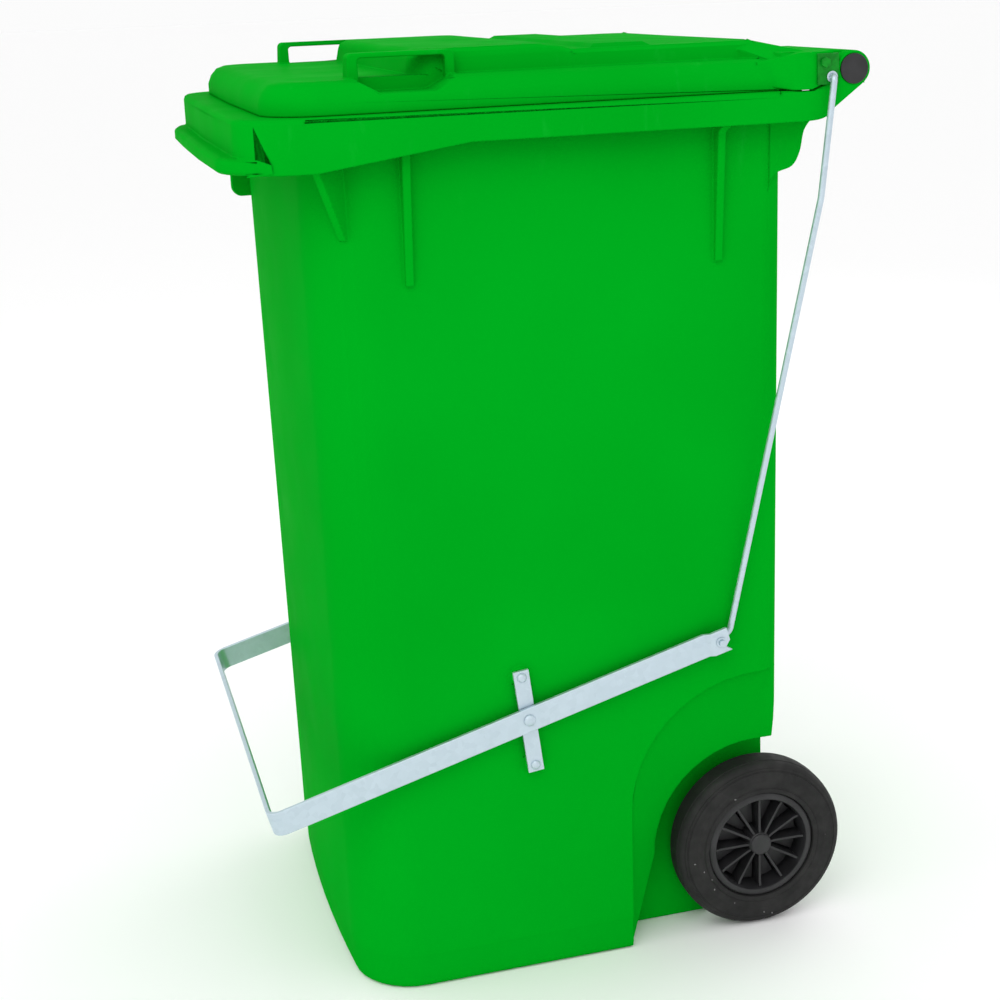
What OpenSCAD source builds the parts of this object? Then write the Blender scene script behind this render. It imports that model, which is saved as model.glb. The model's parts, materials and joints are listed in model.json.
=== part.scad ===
// Two-wheeled wheelie bin of the 240 litre class with a foot-pedal lid opener.
// Millimetres, +Z up, the pedal and front lip towards -Y, the wheels and handle towards +Y.
// Sizes along Y are measured from the wheel axle, and part_frame() then centres the whole bin.

/* [Body] */
// Height of the rim's top face above the floor
rim_top = 989; // [820:1:1190]
// Width over the rim's outer skirt
rim_w = 580; // [480:1:700]
// Reach of the rim's skirt outside the tub, at each side
rim_side_reach = 30; // [22:1:38]
// How far each side wall leans in on its way down to the floor
side_draft = 27; // [10:1:40]
// Distance of the tub's front wall ahead of the axle, at the rim
tub_front_top = 495; // [410:1:600]
// How far the front wall leans in on its way down to the floor
front_draft = 12; // [0:1:40]
// Distance of the tub's rear wall behind the axle
tub_rear = 23; // [15:1:28]
// Crown of the front wall in plan
front_bow = 6; // [0:1:12]
// Radius of the tub's front vertical corners
corner_r = 72; // [50:1:90]
// Radius of the tub's rear vertical corners
rear_corner_r = 30; // [15:1:45]
// Moulded wall thickness
wall = 5; // [4:0.5:6]

/* [Rim] */
// Reach of the rim's skirt ahead of the tub's front wall
rim_reach = 67; // [50:1:90]
// Reach of the lifting lip ahead of the rim's skirt
lip_reach = 16; // [8:1:25]
// Height of the lifting lip
lip_h = 17; // [10:1:22]
// Depth of the skirt along the front
skirt_front_h = 54; // [40:1:70]
// Depth of the skirt along the sides and rear
skirt_side_h = 32; // [22:1:38]
// Length of the deep front part of the skirt, behind the rim's front
skirt_deep_l = 76; // [50:1:120]
// Length over which the skirt rises to its side depth
skirt_rise_l = 155; // [100:1:220]
// Width of the stiffening ribs under the skirt
rib_w = 9; // [5:1:12]

/* [Wheel arch] */
// Running gap between the tyre and the arch
arch_gap = 22; // [15:1:40]
// How much wider than the arch its flared outer edge is
flare_out = 26; // [10:1:40]
// Height of the flared edge's centre above the axle
flare_up = 72; // [50:1:90]
// How deep the flare slopes in from the side wall
flare_depth = 24; // [12:1:34]
// Gap between each wheel and the narrow base between them
core_gap = 12; // [6:0.5:20]
// Clear radius round the axle under the rear of the base
axle_notch_r = 44; // [36:1:50]

/* [Wheels] */
// Tyre outer diameter
wheel_d = 208; // [165:1:242]
// Tyre width
wheel_w = 46; // [36:1:56]
// How far each tyre stands out from the base's side
wheel_proud = 3; // [0:0.5:7]
// Diameter of the seat between the hub and the tyre
rim_seat_d = 132; // [110:1:140]
// Axle diameter
axle_d = 20; // [16:1:24]
// Number of spokes
spoke_n = 12; // [6:1:16]

/* [Handle and hinge] */
// Distance of the hinge bar behind the tub's rear wall
hinge_back = 62; // [55:1:76]
// Height of the hinge bar above the rim
hinge_up = 20; // [20:1:32]
// Outer diameter of the hinge bar, which is also the handle
bar_d = 30; // [25:1:36]
// Wall of the hinge bar's tube
bar_wall = 3.5; // [3:0.5:5]
// Wall of the ears and knuckles round the bar
knuckle_wall = 4; // [3:0.5:6]
// Thickness of each ear along the bar
ear_t = 17; // [12:1:22]
// Free width of the bar for the hands, between the lid's knuckles
grip_w = 240; // [150:1:300]

/* [Lid] */
// Height of the lid's shoulder above the rim
lid_shoulder_h = 33; // [26:1:40]
// Height of the lid's raised panel above its shoulder
panel_h = 18; // [12:1:30]
// Height of the panel's front part above its rear part
field_h = 7; // [2:1:10]
// Lid wall thickness
lid_wall = 4; // [3:0.5:5]
// Gap between the rim's outside and the lid's edge, at the sides
lid_inset = 14; // [8:1:22]
// Length of the two grab handles on the lid
lid_handle_l = 112; // [90:1:130]
// Width of each grab handle's strap
lid_handle_w = 24; // [18:1:30]
// Thickness of each grab handle's strap
lid_handle_t = 5; // [4:0.5:8]
// Distance of each grab handle's middle in from the lid's side
lid_handle_in = 52; // [46:1:76]

/* [Pedal linkage] */
// Width of the pedal's flat bar
bar_w = 28; // [22:1:34]
// Thickness of the pedal's flat bar
bar_t = 5; // [4:0.5:6]
// Outer bend radius of the pedal's two front corners
bend_r = 16; // [10:1:24]
// Distance of the pedal's pivot ahead of the axle
pivot_front = 286; // [240:1:320]
// Height of the pedal's pivot
pivot_h = 318; // [290:1:340]
// Slope of the pedal's arms at rest, in degrees
arm_tilt = 15.2; // [12:0.1:18]
// Room for a toe between the tub's front and the pedal's cross bar
toe_gap = 82.4; // [60:0.1:110]
// Length of each arm behind its pivot
arm_rear = 234; // [215:1:245]
// Gap between the tub's side and each arm, at the pivot
arm_gap = 11.3; // [10:0.1:18]
// Diameter of the push rods
rod_d = 7; // [6:0.5:9]
// Diameter of the pivot rivets' shanks
rivet_d = 8; // [6:0.5:10]
// Length of the pivot straps
strap_l = 122; // [110:1:140]
// Width of the pivot straps
strap_w = 18; // [16:1:24]
// Thickness of the pivot straps
strap_t = 4; // [3:0.5:5]
// Lean of the pivot straps, in degrees
strap_lean = 6.6; // [0:0.1:10]

/* [Fits] */
// Radial clearance of a part that turns on its shaft
running = 0.06; // [0.04:0.01:0.1]
// Radial clearance of a part that stays put on its shaft
slip = 0.2; // [0.1:0.05:0.3]
// Gap between separate moving parts that lie side by side
side_gap = 0.4; // [0.3:0.1:0.8]

/* [Hidden] */
$fn = 64;

PLASTIC = [0.0, 0.66, 0.11];
STEEL = [0.76, 0.81, 0.83];
BLACK = [0.10, 0.10, 0.10];
RUBBER = [0.17, 0.17, 0.17];

SIDES = [-1, 1];
axle_z = wheel_d / 2;
hinge_y = tub_rear + hinge_back;
hinge_z = rim_top + hinge_up;

// Tub: its half width and front wall at a height follow straight draft lines.
tub_top_w = rim_w - 2 * rim_side_reach;
tub_base_w = tub_top_w - 2 * side_draft;
tub_front_base = tub_front_top - front_draft;
function at_height(base, top, z) = base + (top - base) * z / rim_top;
function tub_hw(z) = at_height(tub_base_w, tub_top_w, z) / 2;
function tub_front(z) = at_height(tub_front_base, tub_front_top, z);
floor_t = wall + 1;
edge_r = 8;
crease_z = 42;
crease_in = 1.5;

// Rim.
rim_hw = rim_w / 2;
rim_front = tub_front_top + rim_reach;
lip_front = rim_front + lip_reach;
rim_rear = tub_rear + 13;
rim_corner_r = 58;
skirt_front_z = rim_top - skirt_front_h;
skirt_side_z = rim_top - skirt_side_h;
rib_reach = 14;
rib_foot = 5;
rib_l = 145;
rib_places = [-tub_front_top + 100, -57];
gusset_in = 12;
gusset_back = 35;
gusset_reach = 54;
gusset_l = 73;
lip_r = 76;
stop_r = 12;
stop_t = 14;
stop_in = 30;
stop_depth = 26;
stop_z = skirt_front_z - gusset_l + stop_r;

// Wheel arch and the notch that the axle runs in.
track = tub_base_w + 2 * wheel_proud;
core_hw = track / 2 - wheel_w - core_gap;
arch_r = wheel_d / 2 + arch_gap;
flare_r = arch_r + flare_out;
arch_in = tub_hw(axle_z) - flare_depth;
flare_z = axle_z + flare_up;
flare_back = -10;
web_t = 14;
web_places = [core_hw - web_t / 2, 62];
web_r = axle_d / 2 + 11;

// Ears that carry the hinge bar.
ear_out = rim_hw;
ear_in = ear_out - ear_t;
bar_bore_d = bar_d - 2 * bar_wall;
knuckle_r = bar_d / 2 + knuckle_wall;

// Wheels.
wheel_in = track / 2 - wheel_w;
axle_r = axle_d / 2;
seat_r = rim_seat_d / 2;
ring_t = 10;
hub_r = axle_r + 9;
nose_r = axle_r + 3;
cap_r = nose_r;
cap_l = 5;
dish = 5;
socket_r = axle_r + 1.4;
socket_l = 9;
stub_r = axle_r - 3;
stub_l = 6;
bore_end = track / 2 - dish - socket_l;
web_plate_t = 5;
spoke_t = 3;
slot_w = 9;
spacer_l = wheel_in - core_hw - 1.5 * side_gap;
axle_end = bore_end + side_gap;
clip_t = 2;

// Lid.
lid_z = rim_top + 0.3;
lid_hw = rim_hw - lid_inset;
lid_front = rim_front - 30;
lid_rear = tub_rear - 5;
shoulder_z = rim_top + lid_shoulder_h;
panel_z = shoulder_z + panel_h;
field_z = panel_z + field_h;
field_back = 190;
handle_x = lid_hw - lid_handle_in;
panel_hw = handle_x + lid_handle_w / 2 - 10;
panel_front = tub_front_top - 119;
flap_t = 5;
flap_z = hinge_z + knuckle_r;
flap_seat_in = ear_in - 1;
knuckle_l = ear_in - 1 - grip_w / 2;
handle_back = 88;
handle_y = -lid_front + handle_back + lid_handle_l / 2;
post_t = 12;
pocket_depth = 14;
pocket_l = lid_handle_l - 14;
pocket_r = 12;

// Lug plates on the lid's rear corners, and where the push rods pull them.
lug_y = hinge_y - 35;
lug_z = hinge_z + 8;
lug_x = ear_out + side_gap;
lug_t = 3;
lug_w = 24;
lug_h = 32;
rod_top_y = hinge_y - 27;
rod_top_z = hinge_z - 7;
rod_r = rod_d / 2;
rod_x = lug_x + lug_t + side_gap + 2.5 + rod_r;
lug_bolt_r = 3;

// Pedal linkage.
arm_x = tub_hw(pivot_h) + arm_gap;
arm_front = (tub_front_top + toe_gap - pivot_front) / cos(arm_tilt);
joggle = bar_t;
joggle_l = 6;
tab_l = 20;
tab_x = arm_x + joggle;
pedal_back = arm_rear + 11;
pin_y = -pivot_front + arm_rear * cos(arm_tilt);
pin_z = pivot_h + arm_rear * sin(arm_tilt);
strap_x = arm_x - 1 - strap_t;
strap_bolt_s = strap_l / 2 - 8;
strap_drop = 4;
strap_bolt_r = 3;
pad_r = 11;
pad_in = tub_hw(pivot_h) - wall - 4;
bolt_tip = pad_in + 4;
nut_r = 6.2;
nut_t = 5;
nut_in = strap_x - nut_t - 0.5;
rivet_head_r = 7;
bend_swell = 0.15;
rod_low_x = (strap_x + tab_x) / 2 - 2;
rod_knee_z = rim_top - 112;
rod_knee_y = rod_top_y - 15;
rod_heel_y = pin_y + 15;
rod_heel_z = pin_z + 7;

// Centre of the whole bin along Y.
pedal_nose = pivot_front + arm_front * cos(arm_tilt) + bar_w / 2 * sin(arm_tilt);
front_end = max(pedal_nose, lip_front + front_bow / 2);
rear_end = max(hinge_y + knuckle_r, wheel_d / 2);
y_shift = (front_end - rear_end) / 2;

module part_frame() translate([0, y_shift, 0]) children();

// A cylinder or a tube along X.
module rod_x_axis(r, x0, x1) translate([x0, 0, 0]) rotate([0, 90, 0]) cylinder(r = r, h = x1 - x0);
// A flat outline in Y and Z, made solid from x0 to x1.
module plate_yz(x0, x1) translate([x0, 0, 0]) rotate([90, 0, 90]) linear_extrude(x1 - x0) children();
// A flat outline in X and Z, made solid from y0 to y1.
module plate_xz(y0, y1) translate([0, y1, 0]) rotate([90, 0, 0]) linear_extrude(y1 - y0) children();
module at_axle() translate([0, 0, axle_z]) children();
module at_hinge() translate([0, hinge_y, hinge_z]) children();
module at_pivot() translate([0, -pivot_front, pivot_h]) children();
module at_pin() translate([0, pin_y, pin_z]) children();
module on_side(s) mirror([s < 0 ? 1 : 0, 0, 0]) children();
module both_sides() for (s = SIDES) on_side(s) children();

// One level of a lofted box: a crowned front, large front corners and small rear ones.
ARC_STEPS = 8;
BOW_STEPS = 4;
function quarter(cx, cy, r, from) =
    [for (i = [0:ARC_STEPS]) [cx + r * cos(from + i * 90 / ARC_STEPS),
        cy + r * sin(from + i * 90 / ARC_STEPS)]];
function crown(hw, front, bow) =
    [for (i = [1:2 * BOW_STEPS - 1]) let (t = i / BOW_STEPS - 1)
        [t * hw, -front - bow * (1 - t * t)]];
function level(hw, front, rear, r, rr, bow, z) =
    [for (p = concat(quarter(-hw + r, -front + r, r, 180), crown(hw - r, front, bow),
        quarter(hw - r, -front + r, r, 270), quarter(hw - rr, rear - rr, rr, 0),
        quarter(-hw + rr, rear - rr, rr, 90))) [p[0], p[1], z]];
module loft(levels) {
    n = len(levels[0]);
    m = len(levels);
    points = [for (l = levels) each l];
    sides = [for (k = [0:m - 2], i = [0:n - 1]) [k * n + i, k * n + n + i,
        k * n + n + (i + 1) % n, k * n + (i + 1) % n]];
    bottom = [for (i = [0:n - 1]) i];
    top = [for (i = [0:n - 1]) (m - 1) * n + n - 1 - i];
    polyhedron(points = points, faces = concat(sides, [bottom, top]), convexity = 6);
}

// The tub's outline at a height, drawn in by a wall.
function tub_level(z, inset) =
    level(tub_hw(z) - inset, tub_front(z) - inset, tub_rear - inset,
        corner_r - inset, max(rear_corner_r - inset, 6), front_bow, z);
module tub_outside() loft([
    tub_level(0, edge_r * 0.6), tub_level(edge_r * 0.3, edge_r * 0.2), tub_level(edge_r, 0),
    tub_level(crease_z - 3, 0), tub_level(crease_z, -crease_in), tub_level(rim_top, 0)]);
module tub_inside() loft([
    tub_level(floor_t, wall + edge_r * 0.6), tub_level(floor_t + edge_r, wall),
    tub_level(rim_top + 10, wall)]);

function rim_level(z, inset) =
    level(rim_hw - inset, rim_front - inset, rim_rear - inset,
        rim_corner_r - inset, 12, front_bow / 2, z);
module rim_band() {
    skirt_low = [[-rim_front + skirt_deep_l, skirt_front_z],
        [-rim_front + skirt_deep_l + skirt_rise_l, skirt_side_z],
        [rim_rear + 20, skirt_side_z], [rim_rear + 20, skirt_front_z - 10],
        [-rim_front + skirt_deep_l, skirt_front_z - 10]];
    difference() {
        union() {
            loft([rim_level(skirt_front_z, 0), rim_level(rim_top - 6, 0),
                rim_level(rim_top - 2, 1.5), rim_level(rim_top, 5)]);
            loft([lip_level(skirt_front_z, 3), lip_level(skirt_front_z + 3, 0),
                lip_level(skirt_front_z + lip_h - 4, 0), lip_level(skirt_front_z + lip_h, 5)]);
        }
        loft([rim_level(skirt_front_z - 5, wall), rim_level(rim_top - wall, wall)]);
        plate_yz(-rim_hw - 20, rim_hw + 20) polygon(skirt_low);
    }
}
function lip_level(z, inset) =
    level(rim_hw - 1.5 - inset, lip_front - inset, -rim_front + skirt_deep_l,
        lip_r, 4, front_bow / 2, z);

// The arch outline in Y and Z: a quarter round at the front, open downwards and rearwards.
module arch_outline(yc, zc, r, g) polygon(concat(
    [for (a = [90:7.5:180]) [yc + (r + g) * cos(a), zc + (r + g) * sin(a)]],
    [[min(yc - r, flare_back - flare_r) - g, -30 - g], [tub_rear + 60, -30 - g], [tub_rear + 60, zc + r + g]]));
module arch_cut(g) {
    plate_yz(core_hw - g, arch_in) arch_outline(0, axle_z, arch_r, g);
    hull() {
        plate_yz(arch_in - 1, arch_in) arch_outline(0, axle_z, arch_r, g);
        plate_yz(tub_hw(axle_z) + 1, tub_hw(axle_z) + 2) arch_outline(flare_back, flare_z, flare_r, g);
    }
    plate_yz(tub_hw(axle_z) + 1, rim_hw) arch_outline(flare_back, flare_z, flare_r, g);
}
// The hollow under the rear of the base that the axle runs in.
module axle_notch(g) plate_yz(-core_hw - 30, core_hw + 30) at_notch() {
    circle(r = axle_notch_r + g);
    translate([-axle_notch_r - g, -axle_z - 30]) square([axle_notch_r + 80, axle_z + 30]);
    translate([0, -axle_z - 30]) square([80, axle_z + 30 + axle_notch_r + g]);
}
module at_notch() translate([0, axle_z]) children();
// A web that hangs from the base and holds the axle.
module axle_web(x) plate_yz(x - web_t / 2, x + web_t / 2) at_notch() {
    circle(r = web_r);
    translate([-axle_notch_r - 8, -web_r]) square([axle_notch_r + 8, 2 * web_r]);
    translate([-web_r, 0]) square([2 * web_r, axle_notch_r + 8]);
}

module skirt_rib(y) plate_xz(y - rib_w / 2, y + rib_w / 2) polygon([
    [tub_hw(skirt_side_z) - 3, rim_top - 3], [rim_hw - 3, rim_top - 3],
    [rim_hw - 3, skirt_side_z + 1], [tub_hw(skirt_side_z) + rib_reach, skirt_side_z - 8],
    [tub_hw(skirt_side_z - rib_l) + rib_foot, skirt_side_z - rib_l],
    [tub_hw(skirt_side_z - rib_l) - 3, skirt_side_z - rib_l]]);
// A web across each front corner of the tub, up to the rim.
module corner_gusset() translate([tub_hw(rim_top) - gusset_in, gusset_back - tub_front_top, 0])
    rotate([0, 0, -45]) plate_xz(-rib_w / 2, rib_w / 2) polygon([
        [-10, rim_top - 3], [gusset_reach, rim_top - 3], [gusset_reach, skirt_front_z + 20],
        [gusset_reach - 14, skirt_front_z], [1, skirt_front_z - gusset_l],
        [-10, skirt_front_z - gusset_l]]);

// A smooth curve through every point of a list.
function point_at(p, i) = p[max(0, min(len(p) - 1, i))];
function curve_point(p, i, t) =
    let (a = point_at(p, i - 1), b = p[i], c = p[i + 1], d = point_at(p, i + 2))
    (2 * b + (c - a) * t + (2 * a - 5 * b + 4 * c - d) * t ^ 2
        + (3 * b - a - 3 * c + d) * t ^ 3) / 2;
function smooth(p, steps) =
    [for (i = [0:len(p) - 2], k = [0:steps - 1]) curve_point(p, i, k / steps), p[len(p) - 1]];

// Ear on each rear corner: the rim's skirt runs on and up to the hinge bar, and a thinner
// lobe carries it on the tub's side wall.
ear_lobe = smooth([[tub_rear - 21, rim_top - 101], [tub_rear - 13, rim_top - 88],
    [tub_rear + 6, rim_top - 81], [tub_rear + 15, rim_top - 66], [tub_rear + 20, rim_top - 44],
    [tub_rear + 30, rim_top - 31]], 5);
ear_low = smooth([[tub_rear - 21, skirt_side_z], [tub_rear + 12, skirt_side_z],
    [tub_rear + 30, rim_top - 29], [hinge_y - 22, rim_top - 20], [hinge_y + 12, hinge_z - 15]], 4);
module ear() {
    plate_yz(ear_in, ear_out) {
        translate([hinge_y, hinge_z]) circle(r = knuckle_r);
        polygon(concat(ear_low, [[hinge_y - 17.5, hinge_z - 8],
            [rim_rear + 4, rim_top - 1], [tub_rear - 21, rim_top - 1]]));
    }
    plate_yz(tub_hw(rim_top) - 8, tub_hw(rim_top) - 1)
        polygon(concat(ear_lobe, [[rim_rear, rim_top - 20], [tub_rear - 21, rim_top - 20]]));
    plate_yz(tub_hw(rim_top) - 8, ear_in + 1) polygon([[tub_rear - 21, skirt_side_z + 1],
        [tub_rear + 28, skirt_side_z + 1], [rim_rear - 2, rim_top - 1], [tub_rear - 21, rim_top - 1]]);
}

// A pad on the side wall that holds a captive nut, so that the strap bolts don't pierce the tub.
module strap_pad(s) strap_frame(s) rod_x_axis(pad_r, pad_in, strap_x);
// Places its children on a strap, a distance s up from its middle.
module strap_frame(s) at_pivot() rotate([strap_lean, 0, 0]) translate([0, 0, s - strap_drop]) children();
module strap_holes(r, x0, x1) for (s = [-1, 1]) strap_frame(s * strap_bolt_s) rod_x_axis(r, x0, x1);

module body_shell() color(PLASTIC) part_frame() difference() {
    union() {
        difference() {
            union() {
                tub_outside();
                rim_band();
                both_sides() {
                    for (y = rib_places) skirt_rib(y);
                    corner_gusset();
                    ear();
                }
                front_stop();
            }
            both_sides() arch_cut(0);
            axle_notch(0);
            difference() {
                tub_inside();
                both_sides() arch_cut(wall);
                axle_notch(wall);
            }
        }
        both_sides() {
            for (x = web_places) axle_web(x);
            for (s = [-1, 1]) strap_pad(s * strap_bolt_s);
        }
    }
    at_axle() rod_x_axis(axle_r + slip, -rim_hw, rim_hw);
    at_hinge() rod_x_axis(bar_d / 2 + slip, -ear_out - 5, ear_out + 5);
    both_sides() {
        strap_holes(strap_bolt_r + slip, bolt_tip - 1, strap_x + 5);
        for (s = [-1, 1]) strap_frame(s * strap_bolt_s) hex_x(nut_r + slip, nut_in - slip, strap_x + 1);
    }
}
// A rounded stop that hangs under the lip, at the tub's left front corner.
module front_stop() translate([stop_in - tub_hw(rim_top), -tub_front_top - 6, stop_z]) {
    rod_x_axis(stop_r, 0, stop_t);
    translate([0, -stop_r, 0]) cube([stop_t, 2 * stop_r, skirt_front_z + 8 - stop_z]);
    translate([0, 0, -stop_r]) cube([stop_t, stop_depth, skirt_front_z + 8 + stop_r - stop_z]);
}

module handle_bar() color(PLASTIC) part_frame() at_hinge() difference() {
    rod_x_axis(bar_d / 2, -ear_out, ear_out);
    rod_x_axis(bar_bore_d / 2, -ear_out - 1, ear_out + 1);
}
module bar_plug(s) color(BLACK) part_frame() at_hinge() on_side(s) {
    rod_x_axis(bar_bore_d / 2 - slip, ear_out - 14, ear_out);
    rod_x_axis(bar_d / 2 + 0.7, ear_out, ear_out + 1.5);
}

module axle() color(STEEL) part_frame() at_axle() {
    rod_x_axis(axle_r, -axle_end, axle_end);
    rod_x_axis(stub_r, -axle_end - stub_l, axle_end + stub_l);
}
module axle_spacers() color(STEEL) part_frame() at_axle() both_sides() difference() {
    rod_x_axis(hub_r - 2, core_hw + side_gap / 2, core_hw + side_gap / 2 + spacer_l);
    rod_x_axis(axle_r + slip, core_hw - 5, wheel_in + 5);
}
module wheel_hub(s) color(BLACK) part_frame() at_axle() on_side(s) difference() {
    hub_x = track / 2;
    web_x = hub_x - 20;
    hub_solid(hub_x, web_x);
    for (i = [0:spoke_n - 1]) rotate([i * 360 / spoke_n, 0, 0])
        plate_yz(web_x - web_plate_t - 1, web_x + 1) polygon([
            [spoke_t / 2 + 0.5, hub_r + 3], [spoke_t / 2 + 0.5, seat_r - ring_t - 4],
            [spoke_t / 2 + slot_w, seat_r - ring_t - 4], [spoke_t / 2 + slot_w / 3, hub_r + 3]]);
}
module hub_solid(hub_x, web_x) {
    rotate([0, 90, 0]) rotate_extrude() polygon([
        [axle_r + running, wheel_in], [hub_r, wheel_in], [hub_r, web_x - web_plate_t],
        [seat_r - ring_t, web_x - web_plate_t], [seat_r - ring_t + 2, wheel_in + 4],
        [seat_r, wheel_in + 4], [seat_r, hub_x - 5], [seat_r - 3, hub_x - 2],
        [seat_r - ring_t + 1, hub_x - 2], [seat_r - ring_t - 2, web_x], [hub_r, web_x],
        [nose_r, hub_x - dish], [socket_r, hub_x - dish], [socket_r, bore_end],
        [axle_r + running, bore_end]]);
    for (i = [0:spoke_n - 1]) rotate([i * 360 / spoke_n, 0, 0])
        translate([web_x - 1, -spoke_t / 2, nose_r + 1])
            rotate([90, 0, 90]) linear_extrude(15) square([spoke_t, seat_r - ring_t - nose_r]);
}
module tyre(s) color(RUBBER) part_frame() at_axle() on_side(s) rotate([0, 90, 0])
    rotate_extrude() translate([0, wheel_in]) polygon([
        [seat_r, 0], [seat_r + 12, 0], [wheel_d / 2 - 9, 2], [wheel_d / 2 - 3, 5],
        [wheel_d / 2, 11], [wheel_d / 2, wheel_w - 11], [wheel_d / 2 - 3, wheel_w - 5],
        [wheel_d / 2 - 9, wheel_w - 2], [seat_r + 12, wheel_w], [seat_r + 3, wheel_w],
        [seat_r, wheel_w - 3]]);
module hub_cap(s) color(BLACK) part_frame() at_axle() on_side(s) difference() {
    rotate([0, 90, 0]) translate([0, 0, track / 2 - dish]) rotate_extrude() polygon([
        [0, 0], [cap_r, 0], [cap_r, cap_l - 3], [cap_r - 2, cap_l - 1], [0, cap_l]]);
    rod_x_axis(stub_r + 1, track / 2 - dish - 1, track / 2 - dish + 1.5);
}
module axle_clips() color(STEEL) part_frame() at_axle() both_sides() difference() {
    rod_x_axis(socket_r - 0.6, axle_end, axle_end + clip_t);
    rod_x_axis(stub_r, axle_end - 1, axle_end + clip_t + 1);
}

function lid_level(z, inset, sink = 0) =
    level(lid_hw - inset, lid_front - inset, lid_rear - inset,
        rim_corner_r - min(inset, 40), 14, front_bow / 2, z - sink);
function panel_level(z, inset, sink = 0) =
    level(panel_hw - inset, panel_front - inset, lid_rear - 4 - inset, 30, 20, 0, z - sink);
// The panel's front part, which stands higher and slopes down to the rear part.
function field_level(z, inset, back, sink = 0) =
    level(panel_hw - inset, panel_front - inset, -back, 30, 20, 0, z - sink);
module lid_dome(t) {
    loft([lid_level(lid_z, t), lid_level(lid_z + 12, t), lid_level(lid_z + 22, t + 4),
        lid_level(shoulder_z - 3, t + 11, t), lid_level(shoulder_z, t + 20, t)]);
    loft([panel_level(lid_z + 5, t), panel_level(shoulder_z - 1, t, t),
        panel_level(panel_z - 4, t + 4, t), panel_level(panel_z, t + 12, t)]);
    loft([field_level(lid_z + 5, t, field_back), field_level(shoulder_z - 1, t, field_back, t),
        field_level(panel_z - 3, t + 3, field_back, t),
        field_level(field_z - 4, t + 5, field_back + 16, t),
        field_level(field_z, t + 12, field_back + 38, t)]);
}
// A low pad across the panel, behind its higher part.
module panel_pad() translate([0, -field_back + 45, panel_z - 2]) hull() {
    translate([-panel_hw + 18, -35, 0]) cube([2 * panel_hw - 36, 70, 1]);
    translate([-panel_hw + 26, -27, 5]) cube([2 * panel_hw - 52, 54, 1]);
}
// The finger pocket under each grab handle, open to the lid's side.
module handle_pocket(g) plate_yz(panel_hw - 2 - g, lid_hw + 1)
    translate([handle_y, shoulder_z - pocket_depth]) hull() {
        for (s = [-1, 1]) translate([s * (pocket_l / 2 - 2 * pocket_r), pocket_r])
            circle(r = pocket_r + g);
        translate([-pocket_l / 2 - g, pocket_r]) square([pocket_l + 2 * g, pocket_depth - pocket_r + 1 + g]);
    }
module rounded(r) offset(r = r) offset(delta = -r) children();
module grab_handle() translate([handle_x - lid_handle_w / 2, handle_y, 0])
    plate_yz(0, lid_handle_w) difference() {
        half = lid_handle_l / 2;
        top = field_z - 0.5;
        rounded(6) polygon([[-half, shoulder_z - 12], [-half + 2, top], [half, top],
            [half, shoulder_z - 12]]);
        rounded(4) polygon([[-half + post_t + 1, shoulder_z - 22], [-half + post_t, top - lid_handle_t],
            [half - post_t + 2, top - lid_handle_t], [half - post_t + 2, shoulder_z - 22]]);
    }
// A slope from the rear of the panel's side down to the lid's corner.
module corner_fairing() hull() {
    translate([panel_hw - 24, lid_rear - 44, shoulder_z - 3]) cube([10, 1, panel_z - shoulder_z - 2]);
    translate([panel_hw - 24, lid_rear - 20, shoulder_z - 3]) cube([10, 4, panel_z - shoulder_z + 2.8]);
    translate([panel_hw - 24, hinge_y - 44, flap_z - 6]) cube([10, 1, 6]);
    translate([flap_seat_in - 14, lid_rear - 18, shoulder_z - 5]) cube([6, 1, 4]);
    translate([flap_seat_in - 14, hinge_y - 44, flap_z - 6]) cube([6, 1, 6]);
}
// The corner of the lid, which runs on from its shoulder and over the ear.
module lid_corner() intersection() {
    plate_yz(flap_seat_in - 20, ear_out) polygon([[lid_rear - 34, lid_z + 6],
        [lid_rear - 1, lid_z + 0.2], [rim_rear + 2, lid_z + 0.2], [hinge_y - 23, hinge_z - 9.5],
        [hinge_y - 23, flap_z], [lid_rear + 8, flap_z], [lid_rear - 8, shoulder_z + 2],
        [lid_rear - 34, shoulder_z - 4]]);
    translate([0, 0, lid_z - 1]) linear_extrude(80) polygon([[flap_seat_in - 20, lid_rear - 34],
        [lid_hw - 8, lid_rear - 34], [ear_out, lid_rear + 4], [ear_out, hinge_y],
        [flap_seat_in - 20, hinge_y]]);
}
module lid() color(PLASTIC) part_frame() difference() {
    union() {
        difference() {
            lid_dome(0);
            difference() {
                translate([0, 0, -0.01]) lid_dome(lid_wall);
                both_sides() handle_pocket(lid_wall);
            }
            both_sides() handle_pocket(0);
        }
        panel_pad();
        both_sides() {
            grab_handle();
            plate_yz(grip_w / 2, grip_w / 2 + knuckle_l) hinge_profile();
            plate_yz(0, flap_seat_in) polygon([[lid_rear - 8, shoulder_z - 4],
                [lid_rear - 8, flap_z], [hinge_y - 43, flap_z], [hinge_y - 43, flap_z - flap_t]]);
            plate_yz(0, panel_hw - 14) polygon([[lid_rear - 24, panel_z - 8],
                [lid_rear - 16, panel_z - 0.2], [hinge_y - 43, flap_z], [hinge_y - 43, flap_z - flap_t],
                [lid_rear - 8, shoulder_z - 4]]);
            lid_corner();
            corner_fairing();
        }
    }
    at_hinge() rod_x_axis(bar_d / 2 + running, -ear_out - 5, ear_out + 5);
    both_sides() translate([0, lug_y, lug_z]) rod_x_axis(lug_bolt_r + slip, ear_in - 40, ear_out + 5);
    both_sides() translate([ear_in - 35, lug_y - 8, lug_z - 25]) cube([20, 40, 25 + 7]);
}
module hinge_profile() {
    translate([hinge_y, hinge_z]) circle(r = knuckle_r);
    polygon([[lid_rear - 8, shoulder_z - 4], [lid_rear - 8, flap_z], [hinge_y, flap_z],
        [hinge_y, flap_z - flap_t], [hinge_y - 20, flap_z - flap_t - 3]]);
}

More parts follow.
